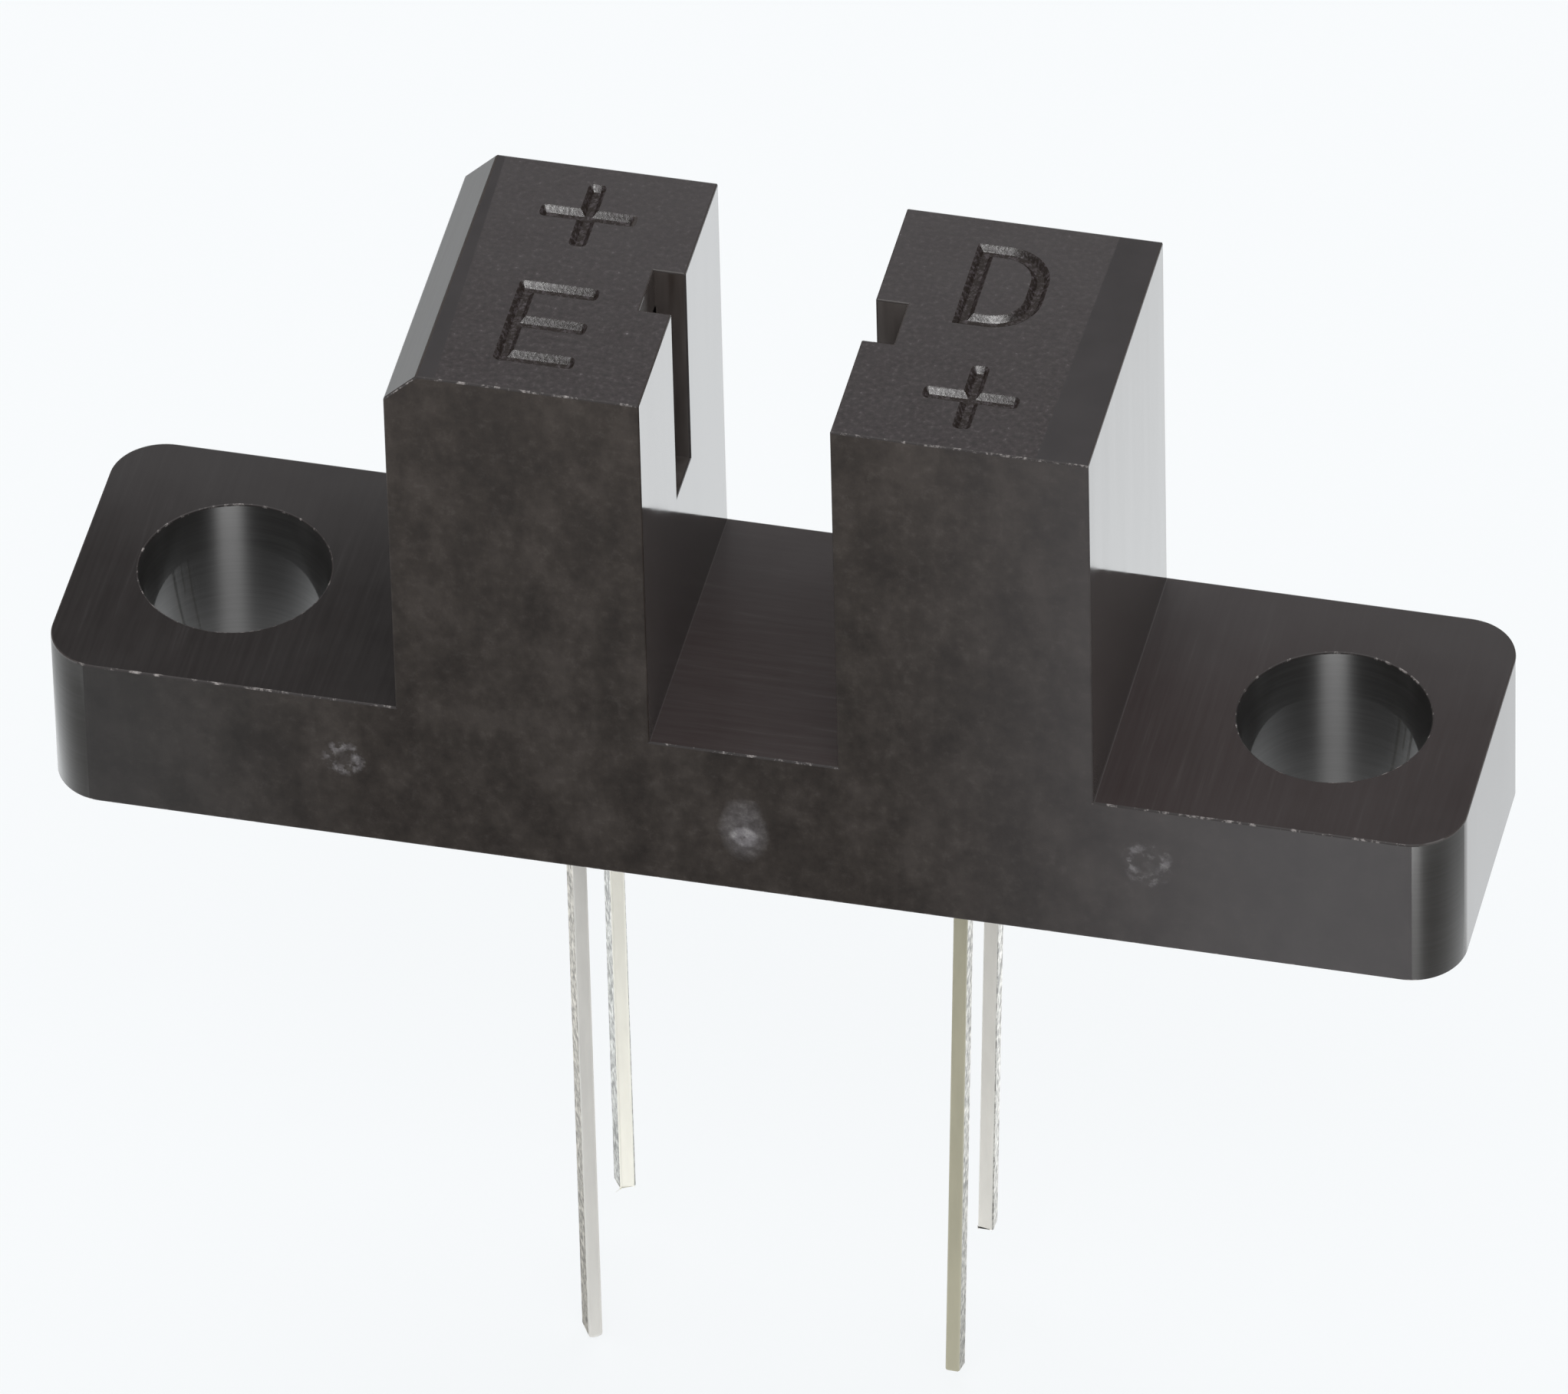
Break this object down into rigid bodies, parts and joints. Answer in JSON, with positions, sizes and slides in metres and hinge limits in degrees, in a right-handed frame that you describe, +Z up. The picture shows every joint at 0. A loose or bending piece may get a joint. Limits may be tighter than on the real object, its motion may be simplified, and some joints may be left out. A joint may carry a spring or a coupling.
{
  "type": "slotted optical switch",
  "caption": "Slotted optical switch: a black moulded housing with screw tabs and towers that face an infrared emitter and a phototransistor across a slot, with solder leads below.",
  "frame": {"origin": "middle of the base's underside, on the seating plane and halfway between the screw holes", "axes": "+X along the base from the LED's tower to the phototransistor's, +Y to the back, +Z up the towers"},
  "size_m": [0.0244, 0.006, 0.0229],
  "materials": {
    "housing_plastic": "black moulded thermoplastic, glossy sides and finely etched tops",
    "led_epoxy": "smoky violet infrared-clear epoxy, polished lens",
    "sensor_epoxy": "near-black daylight-blocking epoxy, polished lens",
    "tinned_lead": "bright tin plate with sheared edges",
    "led_chip": "sawn semiconductor die",
    "sensor_chip": "sawn silicon die",
    "gold_wire": "drawn gold bond wire",
    "potting_epoxy": "cast black epoxy"
  },
  "bodies": {
    "root": {"housing": "housing_plastic", "led_lens_body": "led_epoxy", "led_cathode_lead": "tinned_lead", "led_anode_lead": "tinned_lead", "led_die": "led_chip", "led_bond_wire": "gold_wire", "led_potting": "potting_epoxy", "phototransistor_lens_body": "sensor_epoxy", "phototransistor_collector_lead": "tinned_lead", "phototransistor_emitter_lead": "tinned_lead", "phototransistor_die": "sensor_chip", "phototransistor_bond_wire": "gold_wire", "phototransistor_potting": "potting_epoxy"}
  },
  "joints": []
}
